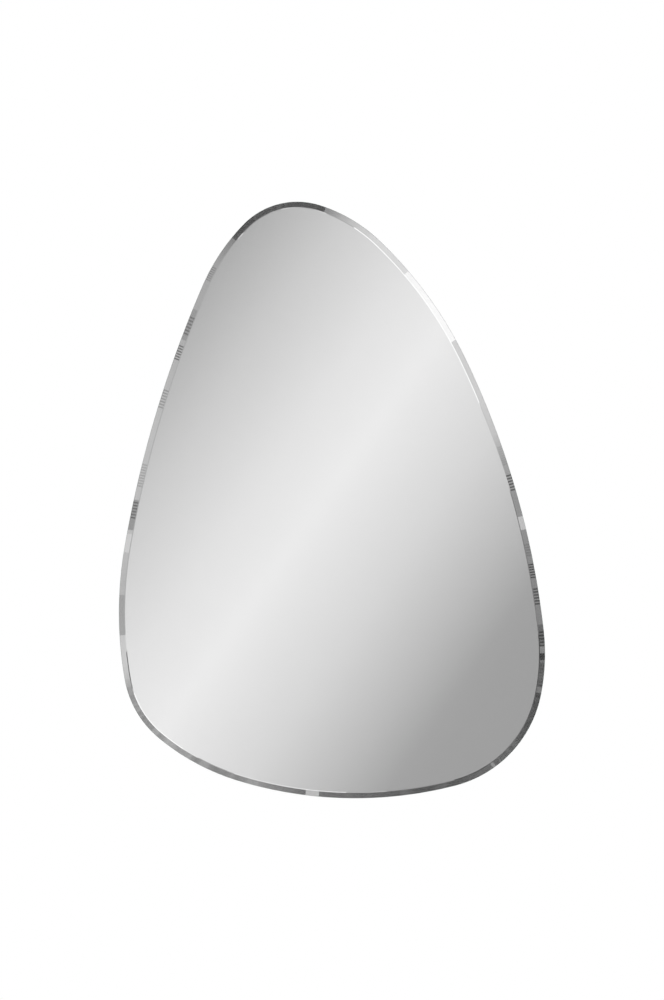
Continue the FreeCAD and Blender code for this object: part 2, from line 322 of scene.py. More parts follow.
def make_strap(name, bar_x, bar_z):
    """The folded strap: its side view is drawn round the ring's bar, widened, rounded and drilled."""
    left = bar_x - STRAP_WIDTH / 2
    eye = point(left, BOARD_BACK + BAR_HEIGHT, bar_z)
    bend_y = STRAP_TOP + FOLD_BEND_RADIUS
    rise = bend_y - BAR_HEIGHT
    drop = math.sqrt((EYE_OUTER_RADIUS + FOLD_BEND_RADIUS) ** 2 - rise**2)
    bend = point(left, BOARD_BACK + bend_y, bar_z - drop)
    eye_turn = 270 - math.degrees(math.asin(rise / (EYE_OUTER_RADIUS + FOLD_BEND_RADIUS)))
    bend_turn = eye_turn - 180
    strap = start_drawing(name, point(left, BOARD_BACK, bar_z - STRAP_LENGTH))
    draw_line(point(0, 0, STRAP_LENGTH))
    draw_arc(eye, eye_turn, (-1, 0, 0), FOLD_STEP)
    draw_arc(bend, -bend_turn, (-1, 0, 0), FOLD_STEP)
    draw_line(point(0, 0, drop - STRAP_LENGTH))
    draw_line(point(0, -STRAP_THICKNESS, 0))
    draw_line(point(0, 0, STRAP_LENGTH - drop))
    draw_arc(bend, bend_turn, (-1, 0, 0), FOLD_STEP)
    draw_arc(eye, -eye_turn, (-1, 0, 0), FOLD_STEP)
    draw_line(point(0, 0, -STRAP_LENGTH))
    draw_line(point(0, -STRAP_THICKNESS, 0))
    close_loop()
    bpy.ops.mesh.edge_face_add()
    bpy.ops.mesh.extrude_region_move(TRANSFORM_OT_translate={"value": point(STRAP_WIDTH, 0, 0)})
    point_outwards()
    tail = (bar_z - STRAP_LENGTH) * MM
    select_edges(
        strap,
        lambda first, second: max(abs(first.z - tail), abs(second.z - tail), abs(first.x - second.x)) < NEAR,
    )
    bpy.ops.mesh.bevel(offset=STRAP_TAIL_RADIUS * MM, segments=10, affect="EDGES")
    bpy.ops.object.mode_set(mode="OBJECT")
    for screw_drop in SCREW_DROPS:
        deselect_objects()
        bpy.ops.mesh.primitive_cylinder_add(
            vertices=32, radius=STRAP_HOLE_RADIUS * MM, depth=4 * STRAP_TOP * MM,
            location=point(bar_x, BOARD_BACK, bar_z - screw_drop), rotation=(math.pi / 2, 0, 0),
        )
        cut_holes(strap, bpy.context.object)
    select_only(strap)
    rounding = strap.modifiers.new("rounding", "BEVEL")
    rounding.width = STRAP_ROUNDING * MM
    rounding.segments = 2
    rounding.limit_method = "ANGLE"
    rounding.angle_limit = math.radians(STRAP_SHARP_ANGLE)
    bpy.ops.object.modifier_apply(modifier="rounding")
    return finish_piece(strap, angle=30.0)


def make_ring(name, bar_x, bar_z):
    """The ring: its wire is drawn round from the middle of the bar and back to it."""
    deselect_objects()
    height = BOARD_BACK + BAR_HEIGHT
    bar = point(bar_x, height, bar_z)
    bpy.ops.mesh.primitive_circle_add(
        vertices=24, radius=RING_WIRE_RADIUS * MM, location=bar, rotation=(0, math.pi / 2, 0)
    )
    ring = shape_new(name)
    bpy.ops.mesh.select_mode(type="VERT")
    bpy.ops.mesh.select_all(action="SELECT")
    half = RING_INNER_WIDTH / 2 + RING_WIRE_RADIUS
    corner = half - RING_CORNER_RADIUS
    bow = RING_DEPTH - half
    draw_line(point(corner, 0, 0))
    draw_arc(point(bar_x + corner, height, bar_z - RING_CORNER_RADIUS), 90, (0, 1, 0), RING_STEP)
    draw_line(point(0, 0, RING_CORNER_RADIUS - bow))
    draw_arc(point(bar_x, height, bar_z - bow), 180, (0, 1, 0), RING_STEP)
    draw_line(point(0, 0, bow - RING_CORNER_RADIUS))
    draw_arc(point(bar_x - corner, height, bar_z - RING_CORNER_RADIUS), 90, (0, 1, 0), RING_STEP)
    draw_line(point(corner, 0, 0))
    close_loop()
    point_outwards()
    bpy.ops.transform.rotate(value=-math.radians(RING_LIFT), orient_axis="X", center_override=bar)
    return finish_piece(ring, angle=60.0)


def make_driver_tip(x, y, z, turn):
    """The cross that a screw's recess is cut with: a square core with four wings, narrower at its tip."""
    deselect_objects()
    bpy.ops.mesh.primitive_cube_add(size=1, location=(0, 0, 0))
    tip = bpy.context.object
    tip.scale = point(SCREW_RECESS_WIDTH, 2 * SCREW_RECESS_DEPTH, SCREW_RECESS_WIDTH)
    bpy.ops.object.transform_apply(location=False, rotation=False, scale=True)
    bpy.ops.object.mode_set(mode="EDIT")
    select_faces(tip, lambda centre, normal: abs(normal.y) < 0.1)
    wing = (SCREW_RECESS_LENGTH - SCREW_RECESS_WIDTH) / 2
    bpy.ops.mesh.extrude_faces_move(TRANSFORM_OT_shrink_fatten={"value": wing * MM})
    select_faces(tip, lambda centre, normal: normal.y < -0.9)
    bpy.ops.transform.resize(value=(SCREW_RECESS_TAPER, 1, SCREW_RECESS_TAPER))
    bpy.ops.object.mode_set(mode="OBJECT")
    tip.rotation_euler = (0, math.radians(turn), 0)
    tip.location = point(x, y, z)
    bpy.ops.object.transform_apply(location=True, rotation=True, scale=False)
    bpy.ops.object.mode_set(mode="EDIT")
    point_outwards()
    bpy.ops.object.mode_set(mode="OBJECT")
    return tip


def make_screw(name, x, z, turn):
    """A pan-head screw with a cross recess, turned to where the driver left it."""
    head = BOARD_BACK + STRAP_TOP
    screw = start_drawing(name, point(x, head + SCREW_HEAD_HEIGHT, z))
    shoulder = SCREW_HEAD_RADIUS - SCREW_HEAD_ROUND
    draw_line(point(shoulder, 0, 0))
    rounding = point(x + shoulder, head + SCREW_HEAD_HEIGHT - SCREW_HEAD_ROUND, z)
    draw_arc(rounding, -90, (0, 0, 1), SCREW_HEAD_STEP)
    draw_line(point(0, SCREW_HEAD_ROUND - SCREW_HEAD_HEIGHT, 0))
    draw_line(point(SCREW_SHANK_RADIUS - SCREW_HEAD_RADIUS, 0, 0))
    draw_line(point(0, SCREW_TIP - SCREW_LENGTH, 0))
    draw_line(point(-SCREW_SHANK_RADIUS, -SCREW_TIP, 0))
    bpy.ops.mesh.select_all(action="SELECT")
    bpy.ops.mesh.spin(steps=40, angle=2 * math.pi, center=point(x, 0, z), axis=(0, 1, 0))
    close_loop()
    point_outwards()
    bpy.ops.object.mode_set(mode="OBJECT")
    cut_holes(screw, make_driver_tip(x, head + SCREW_HEAD_HEIGHT, z, turn))
    bpy.ops.object.mode_set(mode="EDIT")
    close_loop()
    return finish_piece(screw, angle=35.0)


def make_screws():
    """The four screws as one piece."""
    screws = []
    turns = iter(SCREW_TURNS)
    for bar_x, bar_z in BAR_PLACES.values():
        for drop in SCREW_DROPS:
            screws.append(make_screw("pan_head_screws", bar_x, bar_z - drop, next(turns)))
    select_only(*screws)
    bpy.ops.object.join()
    return screws[0]


# ---------- finishes ----------

def feed(tree, socket, given):
    """Links an input to another node's output, or sets it to a value."""
    if hasattr(given, "links"):
        tree.links.new(given, socket)
    else:
        socket.default_value = given


def calculate(tree, operation, *values):
    """A Math node with these inputs, which are numbers or other nodes' outputs."""
    node = tree.nodes.new("ShaderNodeMath")
    node.operation = operation
    for socket, value in zip(node.inputs, values):
        feed(tree, socket, value)
    return node.outputs[0]


def new_group(name, inputs, outputs):
    """A shader node group with these named sockets, each given as (name, type, value)."""
    group = bpy.data.node_groups.new(name, "ShaderNodeTree")
    for label, kind, value in inputs:
        socket = group.interface.new_socket(label, in_out="INPUT", socket_type=kind)
        socket.default_value = value
    for label, kind in outputs:
        group.interface.new_socket(label, in_out="OUTPUT", socket_type=kind)
    return group, group.nodes.new("NodeGroupInput"), group.nodes.new("NodeGroupOutput")


def object_place(tree, size):
    """Object coordinates divided by a size, so that one unit is one feature."""
    coordinates = tree.nodes.new("ShaderNodeTexCoord")
    divide = tree.nodes.new("ShaderNodeVectorMath")
    divide.operation = "DIVIDE"
    tree.links.new(coordinates.outputs["Object"], divide.inputs[0])
    feed(tree, divide.inputs[1], size)
    return divide.outputs[0]


def mix_shaders(tree, share, first, second):
    """The first shader, and as much of the second as the share says."""
    node = tree.nodes.new("ShaderNodeMixShader")
    for socket, given in zip(node.inputs, (share, first, second)):
        tree.links.new(given, socket)
    return node.outputs[0]


def add_bump(tree, height, distance):
    """A relief as a normal: the height gives its form, and the distance its depth in metres."""
    bump = tree.nodes.new("ShaderNodeBump")
    feed(tree, bump.inputs["Distance"], distance)
    tree.links.new(height, bump.inputs["Height"])
    return bump.outputs[0]


def noise(tree, place, detail=3.0, roughness=0.6):
    """A noise texture with features of about one unit of the given place."""
    texture = tree.nodes.new("ShaderNodeTexNoise")
    texture.inputs["Scale"].default_value = 1.0
    texture.inputs["Detail"].default_value = detail
    texture.inputs["Roughness"].default_value = roughness
    tree.links.new(place, texture.inputs["Vector"])
    return texture.outputs["Fac"]


def remap(tree, value, low, high, new_low, new_high):
    """A Map Range node; its ends are numbers or other nodes' outputs."""
    node = tree.nodes.new("ShaderNodeMapRange")
    names = ("Value", "From Min", "From Max", "To Min", "To Max")
    for name, given in zip(names, (value, low, high, new_low, new_high)):
        feed(tree, node.inputs[name], given)
    return node.outputs[0]


def mix_colours(tree, share, first, second):
    """The first colour, and as much of the second as the share says."""
    node = tree.nodes.new("ShaderNodeMix")
    node.data_type = "RGBA"
    for name, given in (("Factor", share), ("A", first), ("B", second)):
        sockets = [socket for socket in node.inputs if socket.name == name and socket.enabled]
        feed(tree, sockets[0], given)
    return [socket for socket in node.outputs if socket.enabled][0]


def build_mottle():
    """Two tones in clouds of one size with specks of another."""
    group, given, result = new_group(
        "mottle",
        (
            ("Light", "NodeSocketColor", (0.5, 0.5, 0.5, 1)),
            ("Dark", "NodeSocketColor", (0.4, 0.4, 0.4, 1)),
            ("Cloud Size", "NodeSocketVector", (0.04, 0.04, 0.04)),
            ("Speck Size", "NodeSocketVector", (0.001, 0.001, 0.001)),
            ("Speck Share", "NodeSocketFloat", 0.5),
        ),
        (("Color", "NodeSocketColor"), ("Mask", "NodeSocketFloat")),
    )
    cloud_noise = noise(group, object_place(group, given.outputs["Cloud Size"]))
    speck_noise = noise(group, object_place(group, given.outputs["Speck Size"]))
    blend = group.nodes.new("ShaderNodeMix")
    group.links.new(given.outputs["Speck Share"], blend.inputs["Factor"])
    group.links.new(remap(group, cloud_noise, 0.35, 0.65, 0.0, 1.0), blend.inputs["A"])
    group.links.new(remap(group, speck_noise, 0.3, 0.7, 0.0, 1.0), blend.inputs["B"])
    mask = blend.outputs["Result"]
    colour = mix_colours(group, mask, given.outputs["Light"], given.outputs["Dark"])
    group.links.new(colour, result.inputs["Color"])
    group.links.new(mask, result.inputs["Mask"])
    return group


def build_fine_relief():
    """A fine uneven surface, as a normal."""
    group, given, result = new_group(
        "fine_relief",
        (("Grain Size", "NodeSocketVector", (0.001, 0.001, 0.001)), ("Height", "NodeSocketFloat", 0.0001)),
        (("Normal", "NodeSocketVector"),),
    )
    grain = noise(group, object_place(group, given.outputs["Grain Size"]), detail=2.0)
    group.links.new(add_bump(group, grain, given.outputs["Height"]), result.inputs["Normal"])
    return group


def build_handling():
    """Roughness with wiped and rubbed patches."""
    group, given, result = new_group(
        "handling",
        (
            ("Smooth", "NodeSocketFloat", 0.2),
            ("Rubbed", "NodeSocketFloat", 0.4),
            ("Patch Size", "NodeSocketVector", (0.01, 0.01, 0.01)),
        ),
        (("Roughness", "NodeSocketFloat"),),
    )
    patches = noise(group, object_place(group, given.outputs["Patch Size"]), 4.0, 0.65)
    rubbed = remap(group, patches, 0.35, 0.7, given.outputs["Smooth"], given.outputs["Rubbed"])
    group.links.new(rubbed, result.inputs["Roughness"])
    return group


def use_group(tree, group, **values):
    """Places a group in a material with its own values, named with _ for spaces."""
    node = tree.nodes.new("ShaderNodeGroup")
    node.node_tree = group
    for name, value in values.items():
        node.inputs[name.replace("_", " ")].default_value = value
    return node


def new_finish(name, roughness=0.5, metallic=0.0):
    """A material with its nodes and its Principled shader."""
    finish = bpy.data.materials.new(name)
    finish.use_nodes = True
    shader = finish.node_tree.nodes["Principled BSDF"]
    shader.inputs["Roughness"].default_value = roughness
    shader.inputs["Metallic"].default_value = metallic
    return finish, finish.node_tree, shader


def mottled_finish(
    name, light, dark, cloud, speck, share, smooth, rubbed, patch, grain, height, metallic=0.0,
):
    """A finish from the three shared groups; the sizes are in mm."""
    finish, tree, shader = new_finish(name, smooth, metallic)
    colour = use_group(
        tree, mottle, Light=(*light, 1), Dark=(*dark, 1),
        Cloud_Size=point(*cloud), Speck_Size=point(*speck), Speck_Share=share,
    )
    wear = use_group(tree, handling, Smooth=smooth, Rubbed=rubbed, Patch_Size=point(*patch))
    relief = use_group(tree, fine_relief, Grain_Size=point(*grain), Height=height * MM)
    tree.links.new(colour.outputs["Color"], shader.inputs["Base Color"])
    tree.links.new(wear.outputs["Roughness"], shader.inputs["Roughness"])
    tree.links.new(relief.outputs["Normal"], shader.inputs["Normal"])
    return finish


def polished_glass():
    """Clear float glass, with the faintest haze from wiping."""
    finish, tree, shader = new_finish("polished_glass", 0.0)
    shader.inputs["Base Color"].default_value = (0.985, 0.99, 0.987, 1)
    shader.inputs["Transmission Weight"].default_value = 1.0
    shader.inputs["IOR"].default_value = 1.52
    wear = use_group(tree, handling, Smooth=0.0, Rubbed=0.006, Patch_Size=point(60, 60, 25))
    tree.links.new(wear.outputs["Roughness"], shader.inputs["Roughness"])
    add_green_depth(finish)
    return finish


def ground_glass():
    """The ground rim of the sheet, matt and grey-green with fine grinding lines along it."""
    finish, tree, shader = new_finish("ground_glass", 0.4)
    shader.inputs["Transmission Weight"].default_value = 0.6
    shader.inputs["IOR"].default_value = 1.52
    colour = use_group(
        tree, mottle, Light=(0.72, 0.84, 0.79, 1), Dark=(0.5, 0.66, 0.6, 1),
        Cloud_Size=point(30, 30, 30), Speck_Size=point(5, 0.15, 5), Speck_Share=0.6,
    )
    relief = use_group(tree, fine_relief, Grain_Size=point(4, 0.12, 4), Height=0.01 * MM)
    tree.links.new(colour.outputs["Color"], shader.inputs["Base Color"])
    tree.links.new(relief.outputs["Normal"], shader.inputs["Normal"])
    add_green_depth(finish)
    return finish


def add_green_depth(finish):
    """The green that light takes up on a long way through float glass."""
    tree = finish.node_tree
    depth = tree.nodes.new("ShaderNodeVolumeAbsorption")
    depth.inputs["Color"].default_value = (0.72, 0.95, 0.86, 1)
    depth.inputs["Density"].default_value = 4.0
    tree.links.new(depth.outputs[0], tree.nodes["Material Output"].inputs["Volume"])


def silver():
    """The silver behind the glass."""
    finish, tree, shader = new_finish("silver", 0.0, 1.0)
    colour = use_group(
        tree, mottle, Light=(0.95, 0.95, 0.95, 1), Dark=(0.94, 0.94, 0.94, 1),
        Cloud_Size=point(200, 200, 200), Speck_Size=point(5, 5, 5), Speck_Share=0.1,
    )
    tree.links.new(colour.outputs["Color"], shader.inputs["Base Color"])
    return finish


def scrim_film():
    """Grey film with a woven scrim of flat threads pressed into it, and painted shade that darkens the
    grooves between the threads.
    """
    finish, tree, shader = new_finish("scrim_film", 0.45)
    colour = use_group(
        tree, mottle, Light=(0.47, 0.5, 0.52, 1), Dark=(0.4, 0.43, 0.45, 1),
        Cloud_Size=point(120, 120, 90), Speck_Size=point(1.2, 1.2, 7), Speck_Share=0.45,
    )
    place = object_place(tree, point(FILM_THREAD, FILM_THREAD, FILM_THREAD))
    split = tree.nodes.new("ShaderNodeSeparateXYZ")
    tree.links.new(place, split.inputs[0])
    waves = []
    for axis in ("X", "Z"):
        angle = calculate(tree, "MULTIPLY", split.outputs[axis], math.pi)
        waves.append(calculate(tree, "ABSOLUTE", calculate(tree, "SINE", angle)))
    threads = calculate(tree, "MULTIPLY", *waves)
    # painted shade: the colour darkens towards the grey (0.27, 0.29, 0.31) in the grooves between the
    # threads, where the bump is lowest
    painted_valley_shade = remap(tree, threads, 0.0, 0.35, 0.25, 0.0)
    shade = mix_colours(tree, painted_valley_shade, colour.outputs["Color"], (0.27, 0.29, 0.31, 1))
    tree.links.new(shade, shader.inputs["Base Color"])
    ripples = noise(tree, object_place(tree, point(70, 70, 110)), detail=1.5)
    height = calculate(tree, "ADD", calculate(tree, "MULTIPLY", ripples, 8.0), threads)
    tree.links.new(add_bump(tree, height, 0.05 * MM), shader.inputs["Normal"])
    wear = use_group(tree, handling, Smooth=0.38, Rubbed=0.55, Patch_Size=point(90, 90, 40))
    tree.links.new(wear.outputs["Roughness"], shader.inputs["Roughness"])
    return finish


def closed_cell_foam():
    """White foam with round cells, with painted shade darker in the hollow of each cell and lighter on its
    rim.
    """
    finish, tree, shader = new_finish("closed_cell_foam", 0.85)
    cells = tree.nodes.new("ShaderNodeTexVoronoi")
    cells.inputs["Scale"].default_value = 1.0
    tree.links.new(object_place(tree, point(0.35, 0.35, 0.35)), cells.inputs["Vector"])
    # painted shade: the colour is darkest in the hollow of each cell, where the bump is lowest, and palest
    # on the cell's rim
    rim = remap(tree, cells.outputs["Distance"], 0.2, 0.8, 0.0, 1.0)
    colour = mix_colours(tree, rim, (0.62, 0.62, 0.59, 1), (0.8, 0.8, 0.77, 1))
    tree.links.new(colour, shader.inputs["Base Color"])
    tree.links.new(add_bump(tree, rim, 0.1 * MM), shader.inputs["Normal"])
    return finish


mottle = build_mottle()
fine_relief = build_fine_relief()
handling = build_handling()

paint = mottled_finish(
    "protective_paint",
    light=(0.33, 0.36, 0.37), dark=(0.27, 0.3, 0.31),
    cloud=(60, 60, 60), speck=(0.4, 0.4, 0.4), share=0.4,
    smooth=0.45, rubbed=0.6, patch=(30, 30, 30),
    grain=(0.5, 0.5, 0.5), height=0.02,
)
fibreboard = mottled_finish(
    "fibreboard",
    light=(0.46, 0.335, 0.215), dark=(0.345, 0.24, 0.145),
    cloud=(70, 70, 70), speck=(0.8, 0.8, 0.8), share=0.85,
    smooth=0.7, rubbed=0.85, patch=(30, 30, 30),
    grain=(0.4, 0.4, 0.4), height=0.012,
)
sawn_edge = mottled_finish(
    "sawn_fibreboard",
    light=(0.36, 0.24, 0.135), dark=(0.24, 0.15, 0.08),
    cloud=(25, 25, 25), speck=(1.6, 0.35, 1.6), share=0.7,
    smooth=0.8, rubbed=0.92, patch=(12, 3, 12),
    grain=(1.4, 0.3, 1.4), height=0.09,
)
zinc = mottled_finish(
    "zinc_plate",
    light=(0.74, 0.74, 0.72), dark=(0.6, 0.61, 0.62),
    cloud=(7, 7, 9), speck=(0.25, 0.25, 3), share=0.35,
    smooth=0.24, rubbed=0.42, patch=(3, 3, 10),
    grain=(0.12, 0.12, 5), height=0.008, metallic=1.0,
)
nickel = mottled_finish(
    "nickel_plate",
    light=(0.8, 0.78, 0.74), dark=(0.7, 0.68, 0.64),
    cloud=(4, 4, 4), speck=(0.3, 0.3, 0.3), share=0.3,
    smooth=0.12, rubbed=0.26, patch=(3, 3, 3),
    grain=(0.3, 0.3, 0.3), height=0.004, metallic=1.0,
)
rubber = mottled_finish(
    "pad_rubber",
    light=(0.035, 0.035, 0.036), dark=(0.022, 0.022, 0.023),
    cloud=(5, 5, 5), speck=(0.3, 0.3, 0.3), share=0.5,
    smooth=0.55, rubbed=0.78, patch=(4, 4, 4),
    grain=(0.35, 0.35, 0.35), height=0.03,
)


def dress(piece, node, body, slot, *finishes):
    """Gives a piece its finishes, hides the CAD node that it stands in for and hangs it on its body. The
    slot is not used.
    """
    piece.data.materials.clear()
    for finish in finishes:
        piece.data.materials.append(finish)
    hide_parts(node)
    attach(piece, body)


# A face whose normal has a lower y than this looks to the front
FRONT_NORMAL = -0.5
# A face whose normal has a smaller y than this, either way, belongs to an edge
EDGE_NORMAL = 0.9


def second_finish(piece, wanted):
    """Faces that meet the test take the piece's second finish."""
    for face in piece.data.polygons:
        if wanted(face.center, face.normal):
            face.material_index = 1


glass = make_glass()
dress(glass, "glass", "mirror", "float_glass", polished_glass(), ground_glass())
glass_back = (GLASS_BACK - COAT_GAP) * MM
second_finish(glass, lambda centre, normal: normal.y > FRONT_NORMAL and centre.y < glass_back - NEAR)
coat = make_coat()
dress(coat, "silver_coat", "mirror", "silvering", silver(), paint)
second_finish(coat, lambda centre, normal: normal.y > FRONT_NORMAL)
dress(make_film(), "safety_film", "mirror", "backing_film", scrim_film())
board = make_board()
dress(board, "backing_board", "mirror", "fibreboard", fibreboard, sawn_edge)
second_finish(board, lambda centre, normal: abs(normal.y) < EDGE_NORMAL)
for pad_name, (pad_x, pad_z) in PAD_PLACES.items():
    dress(make_pad(pad_name + "_button", pad_x, pad_z), pad_name, "mirror", "pad_rubber", rubber)
for side, (bar_x, bar_z) in BAR_PLACES.items():
    strap = make_strap(side + "_folded_strap", bar_x, bar_z)
    dress(strap, side + "_hanger_strap", "mirror", "plated_steel", zinc)
    ring = make_ring(side + "_wire_ring", bar_x, bar_z)
    dress(ring, side + "_ring", side + "_ring", "ring_steel", nickel)
dress(make_screws(), "hanger_screws", "mirror", "plated_steel", zinc)
foam = closed_cell_foam()
for number in range(1, TAPE_STRIPS + 1):
    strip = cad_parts["tape_strip_" + str(number)]
    for slot in strip.material_slots:
        slot.material = foam


# ---------- studio ----------

def grey(level):
    """The linear strength of an 8-bit grey."""
    share = level / 255
    if share <= 0.04045:
        return share / 12.92
    return ((share + 0.055) / 1.055) ** 2.4


CAMERA_DISTANCE = 8.0
VIEW_HEIGHT = 1.1734
WHITE = (1, 1, 1, 1)
BLACK = (0, 0, 0, 1)
# The share of red, green and blue that the mirror gives back
MIRROR_SHARES = (0.9, 0.918, 0.909)
# The strength of the even light on whatever doesn't mirror the studio
PLAIN_LIGHT = 0.6
# The round floor: its radius and level in metres, where it fades as shares of its radius,
# and the strength of its rim in reflections
FLOOR_RADIUS = 2.1
FLOOR_LEVEL = -0.75
FLOOR_FADE = (0.5, 0.98)
FLOOR_RIM_STRENGTH = 0.447
# Softboxes: name, place in metres, size in metres and power in watts
SOFTBOXES = (
    ("key_softbox", (-1.3, -2.0, 3.0), 1.2, 85),
    ("back_softbox", (1.5, 2.4, 2.4), 1.4, 75),
)

# A direction's spread is the tangent of its angle from straight ahead of the mirror, and its turn
# its degrees round that. LEAST_AHEAD keeps the spread finite to the sides and behind.
LEAST_AHEAD = 0.02
# Spreads between which the face's gradient goes over into the ring, and the ring into the room
FACE_EDGE = (0.14, 0.20)
RING_EDGE = (0.32, 0.45)
# The gradient behind the camera falls to the lower right, this many degrees below level. Its greys
# go by the distance in mm from the middle of the mirror, where the camera sees them.
FACE_SLOPE = 35
FACE_GREYS = (
    (-620, 205),
    (-450, 165),
    (-270, 172),
    (-180, 203),
    (-80, 226),
    (-8, 235.5),
    (110, 213),
    (200, 184),
    (250, 163),
    (275, 160),
    (340, 158),
    (500, 185),
    (620, 210),
)
# The ring round the gradient, which the bevel shows: its greys by turn, from 20 degrees up to 380
RING_START = 20
RING_GREYS = (
    (20, 193), (22, 206), (37, 221), (45.6, 208), (56, 183), (66, 131), (145, 122), (154.6, 161),
    (161.5, 163), (164.7, 186), (174, 181), (182.8, 204), (187.7, 170), (196.3, 143), (214.9, 138),
    (232.5, 152), (248.1, 127), (256.1, 136), (261.7, 103), (279.6, 58), (300, 82), (318, 78),
    (350, 56), (371, 118), (378, 142), (380, 190),
)
# The ring's uneven streaks: their scale, the noise levels between which they lie, their strength
# outside and inside the stretch that is streaked most, and that stretch's first and last turn
STREAK_SCALE = (90, 90, 35)
STREAK_LEVELS = (0.3, 0.7)
STREAK_STRENGTHS = (0.1, 0.35)
STREAKED = (190, 256)
# Cards hung in the ring: first and last turn, and grey
CARDS = (
    (26.3, 36.7, 253),
    (66.7, 145.2, 54),
    (161.6, 162.4, 147),
    (166.5, 167.25, 145),
    (167.35, 168.5, 203),
    (174.2, 179.6, 159),
    (262.5, 264.3, 181),
    (305.7, 307.5, 131),
    (350.0, 353.8, 52),
    (353.8, 355.4, 111),
    (355.4, 362.2, 78),
    (362.2, 363.0, 100),
    (363.0, 364.8, 20),
    (364.8, 366.7, 120),
    (366.7, 371.3, 85),
    (375.6, 376.2, 187),
)
# Cards nearer the middle, at these spreads, which show in the thin line along the inside of the bevel
INNER_REACH = (0.1, 0.13)
INNER_CARDS = (
    (20.3, 47.5, 262),
    (47.5, 60.8, 165),
    (105.0, 118.0, 160),
    (118.0, 148.0, 140),
    (150.4, 174.5, 165),
    (176.5, 181.0, 60),
    (181.0, 187.0, 120),
    (190.5, 236.0, 262),
    (241.0, 250.0, 160),
    (252.0, 267.0, 230),
    (272.0, 281.0, 140),
    (281.0, 304.0, 60),
    (304.0, 316.0, 90),
    (316.0, 346.0, 100),
    (346.0, 368.0, 75),
    (368.0, 376.0, 50),
    (376.0, 379.0, 115),
)
# Slatted screens hung in the ring: first and last turn, slats, and how much each slat darkens
SLATS = (
    (154.9, 159.3, 7, 0.4),
    (161.8, 162.3, 6, 0.5),
    (162.55, 162.95, 6, 0.7),
    (163.7, 164.2, 7, 0.4),
    (165.6, 166.2, 9, 0.3),
    (166.55, 167.0, 6, 0.6),
    (355.7, 362.0, 7, 0.35),
    (366.7, 371.3, 5, 1.0),
    (372.2, 373.0, 6, 0.85),
    (373.4, 374.1, 6, 0.85),
    (374.4, 375.0, 5, 0.3),
    (377.4, 378.2, 6, 0.75),
    (378.6, 379.5, 9, 0.25),
)
# Greys of the room by height, from straight down to straight up
ROOM_GREYS = ((-1, 190), (-0.45, 165), (-0.1, 205), (0.1, 225), (0.6, 240), (1, 235))


def grey_colour(level):
    """What the studio shows so that the mirror gives this 8-bit grey, without the tint of its glass."""
    return (*(grey(level) / share for share in MIRROR_SHARES), 1)


def between(tree, value, low, high):
    """1 where the value is between the two, and 0 elsewhere."""
    above = calculate(tree, "GREATER_THAN", value, low)
    below = calculate(tree, "LESS_THAN", value, high)
    return calculate(tree, "MULTIPLY", above, below)


def grey_ramp(tree, value, stops):
    """A Color Ramp with these stops, each a value and the grey there."""
    low = stops[0][0]
    high = stops[-1][0]
    ramp = tree.nodes.new("ShaderNodeValToRGB")
    tree.links.new(remap(tree, value, low, high, 0.0, 1.0), ramp.inputs["Fac"])
    elements = ramp.color_ramp.elements
    while len(elements) < len(stops):
        elements.new(0.5)
    for element, (place, _) in zip(elements, stops):
        element.position = (place - low) / (high - low)
    for element, (_, level) in zip(elements, stops):
        element.color = grey_colour(level)
    return ramp.outputs["Color"]


def show_gradient(tree, across, upwards):
    """The gradient that the flat of the mirror shows."""
    slope = math.radians(FACE_SLOPE)
    rightwards = calculate(tree, "MULTIPLY", across, math.cos(slope))
    downwards = calculate(tree, "MULTIPLY", upwards, -math.sin(slope))
    fall = calculate(tree, "ADD", rightwards, downwards)
    return grey_ramp(tree, calculate(tree, "MULTIPLY", fall, CAMERA_DISTANCE / MM), FACE_GREYS)


def hang_inner_cards(tree, turn, spread, behind):
    """The cards nearer the middle, in front of what is behind them."""
    reach = between(tree, spread, *INNER_REACH)
    for start, end, level in INNER_CARDS:
        card = calculate(tree, "MULTIPLY", between(tree, turn, start, end), reach)
        behind = mix_colours(tree, card, behind, grey_colour(level))
    return behind


def show_ring(tree, directions, turn):
    """The ring of greys with its cards, slatted screens and streaks."""
    ring = grey_ramp(tree, turn, RING_GREYS)
    for start, end, level in CARDS:
        ring = mix_colours(tree, between(tree, turn, start, end), ring, grey_colour(level))
    for start, end, slats, darkness in SLATS:
        count = calculate(tree, "FRACT", remap(tree, turn, start, end, 0.0, slats))
        dark = calculate(tree, "MULTIPLY", calculate(tree, "LESS_THAN", count, 0.5), darkness)
        dark = calculate(tree, "MULTIPLY", dark, between(tree, turn, start, end))
        ring = mix_colours(tree, dark, ring, BLACK)
    scaled = tree.nodes.new("ShaderNodeVectorMath")
    scaled.operation = "MULTIPLY"
    tree.links.new(directions, scaled.inputs[0])
    scaled.inputs[1].default_value = STREAK_SCALE
    streaks = remap(tree, noise(tree, scaled.outputs[0], detail=2.0), *STREAK_LEVELS, -0.5, 0.5)
    strength = remap(tree, between(tree, turn, *STREAKED), 0.0, 1.0, *STREAK_STRENGTHS)
    for sign, colour in ((1.0, BLACK), (-1.0, WHITE)):
        streak = calculate(tree, "MAXIMUM", calculate(tree, "MULTIPLY", streaks, sign), 0.0)
        ring = mix_colours(tree, calculate(tree, "MULTIPLY", streak, strength), ring, colour)
    return ring


